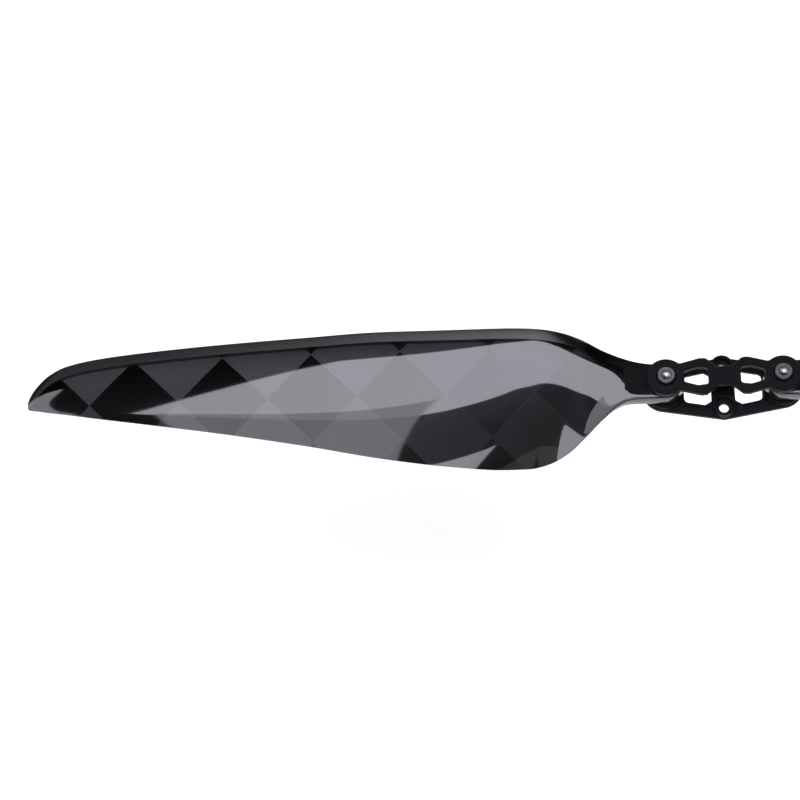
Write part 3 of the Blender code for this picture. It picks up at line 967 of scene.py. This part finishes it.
def make_softbox(name, centre, size, turn, glow):
    """One flat glowing rectangle above the propeller, the same brightness all over."""
    box = rectangle(name, size[0] / 2, size[1] / 2, 0)
    box.location = (centre[0], centre[1], SOFTBOX_HEIGHT)
    box.rotation_euler.z = math.radians(turn)
    n = Nodes(f"{name}_light")
    n.surface(Base_Color=grey(0.0), Emission_Color=SOFTBOX_TINT, Emission_Strength=glow)
    box.data.materials.append(n.material)
    box.visible_camera = False


def area_light(name, place, size, power):
    light = bpy.data.lights.new(name, "AREA")
    light.shape = "RECTANGLE"
    light.size, light.size_y = size
    light.energy = power
    lamp = bpy.data.objects.new(name, light)
    lamp.location = place
    lamp.rotation_euler = (Vector(LIGHT_TARGET) - Vector(place)).to_track_quat("-Z", "Y").to_euler()
    bpy.context.scene.collection.objects.link(lamp)


def make_world():
    """Pale where the camera looks past the floor, and nearly dark for everything else."""
    world = bpy.data.worlds.new("studio")
    world.use_nodes = True
    tree = world.node_tree
    background = tree.nodes["Background"]
    path = tree.nodes.new("ShaderNodeLightPath")
    mix = tree.nodes.new("ShaderNodeMix")
    mix.data_type = "RGBA"
    mix.inputs[6].default_value = grey(WORLD_LIGHT)
    mix.inputs[7].default_value = grey(WORLD_SEEN)
    tree.links.new(path.outputs["Is Camera Ray"], mix.inputs[0])
    tree.links.new(mix.outputs[2], background.inputs["Color"])
    bpy.context.scene.world = world


def make_camera():
    a, e = CAMERA_AZIMUTH, CAMERA_ELEVATION
    back = Vector((math.sin(a) * math.cos(e), -math.cos(a) * math.cos(e), math.sin(e)))
    right = Vector((math.cos(a), math.sin(a), 0))
    up = back.cross(right)
    across = right * math.cos(CAMERA_ROLL) + up * math.sin(CAMERA_ROLL)
    upward = up * math.cos(CAMERA_ROLL) - right * math.sin(CAMERA_ROLL)
    place = Vector(CAMERA_TARGET) + back * CAMERA_DISTANCE
    data = bpy.data.cameras.new("camera")
    data.lens = CAMERA_LENS
    data.sensor_width = SENSOR_WIDTH
    camera = bpy.data.objects.new("camera", data)
    turn = Matrix((across, upward, back)).transposed().to_4x4()
    camera.matrix_world = Matrix.Translation(place) @ turn
    bpy.context.scene.collection.objects.link(camera)
    bpy.context.scene.camera = camera


def make_studio():
    make_world()
    make_floor()
    for number, softbox in enumerate(SOFTBOXES, 1):
        make_softbox(f"softbox_{number}", *softbox)
    for light in AREA_LIGHTS:
        area_light(*light)
    make_camera()
    bpy.context.scene.view_settings.view_transform = "Standard"


# ---------------------------------------------------------------- the whole propeller

def put(obj, body, slot, *nodes):
    """The mesh rides on the body and stands for the CAD nodes; the slot is not used."""
    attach(obj, body)
    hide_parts(*nodes)


def heights(node):
    low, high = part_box(node)
    return low.z, high.z


def make_plates():
    # The second finish paints a highlight on the plates' chamfers.
    finish = (anodised_material(), painted_edge_highlight_material())
    for make, node in ((make_upper_plate, "hub_upper_plate"), (make_lower_plate, "hub_lower_plate")):
        obj = finish_mesh(make(*heights(node)), *finish)
        put(obj, "hub", "hub_black", node)


def make_washers(number, pivot, nylon):
    for where in ("upper", "lower"):
        node = f"{where}_friction_washer_{number}"
        name = f"{where}_washer_{number}"
        washer = make_ring(name, pivot, ROOT_BORE_RADIUS, WASHER_RADIUS, *heights(node), WASHER_CHAMFER)
        put(finish_mesh(washer, nylon), "hub", "washer_nylon", node)


def make_hub():
    make_plates()
    steel, brass, nylon = steel_material(), brass_material(), nylon_material()
    for number in (1, 2):
        node = f"pivot_screw_{number}"
        low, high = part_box(node)
        pivot = ((low.x + high.x) / 2, 0)
        screw = make_screw(number, pivot, low.z, high.z)
        put(finish_mesh(screw, steel, steel), "hub", "screw_steel", node)
        node = f"pivot_nut_{number}"
        nut = make_nut(number, pivot, *heights(node))
        put(finish_mesh(nut, steel, steel), "hub", "screw_steel", node)
        node = f"pivot_bush_{number}"
        bush = make_ring(f"bush_{number}", pivot, HOLE_RADIUS, BUSH_RADIUS, *heights(node), FINE_CHAMFER)
        put(finish_mesh(bush, brass), "hub", "bush_brass", node)
        make_washers(number, pivot, nylon)


def make_blades():
    carbon, root, foam = carbon_material(), root_material(), foam_material()
    for number in (1, 2):
        body = f"blade_{number}"
        low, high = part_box(f"pivot_screw_{number}")
        pivot = Vector(((low.x + high.x) / 2, 0, 0))
        root_top = heights(f"upper_friction_washer_{number}")[0]
        root_bottom = heights(f"lower_friction_washer_{number}")[1]
        blade = Blade(number, pivot, (root_top + root_bottom) / 2)
        put(finish_mesh(blade.root(), root), body, "root_black", f"{body}_root_block")
        for side, name in ((1, "upper"), (-1, "lower")):
            put(finish_mesh(blade.skin(side), carbon), body, "carbon_gloss", f"{body}_{name}_skin")
        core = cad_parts[f"{body}_foam_core"]
        core.data.materials.clear()
        core.data.materials.append(foam)


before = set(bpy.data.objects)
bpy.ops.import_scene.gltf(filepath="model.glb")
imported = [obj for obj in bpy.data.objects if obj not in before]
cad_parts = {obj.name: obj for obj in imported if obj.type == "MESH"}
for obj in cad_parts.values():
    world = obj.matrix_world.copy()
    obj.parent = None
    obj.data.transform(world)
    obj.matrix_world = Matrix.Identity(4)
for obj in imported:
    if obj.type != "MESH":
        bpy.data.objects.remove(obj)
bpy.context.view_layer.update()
make_hub()
make_blades()
make_studio()
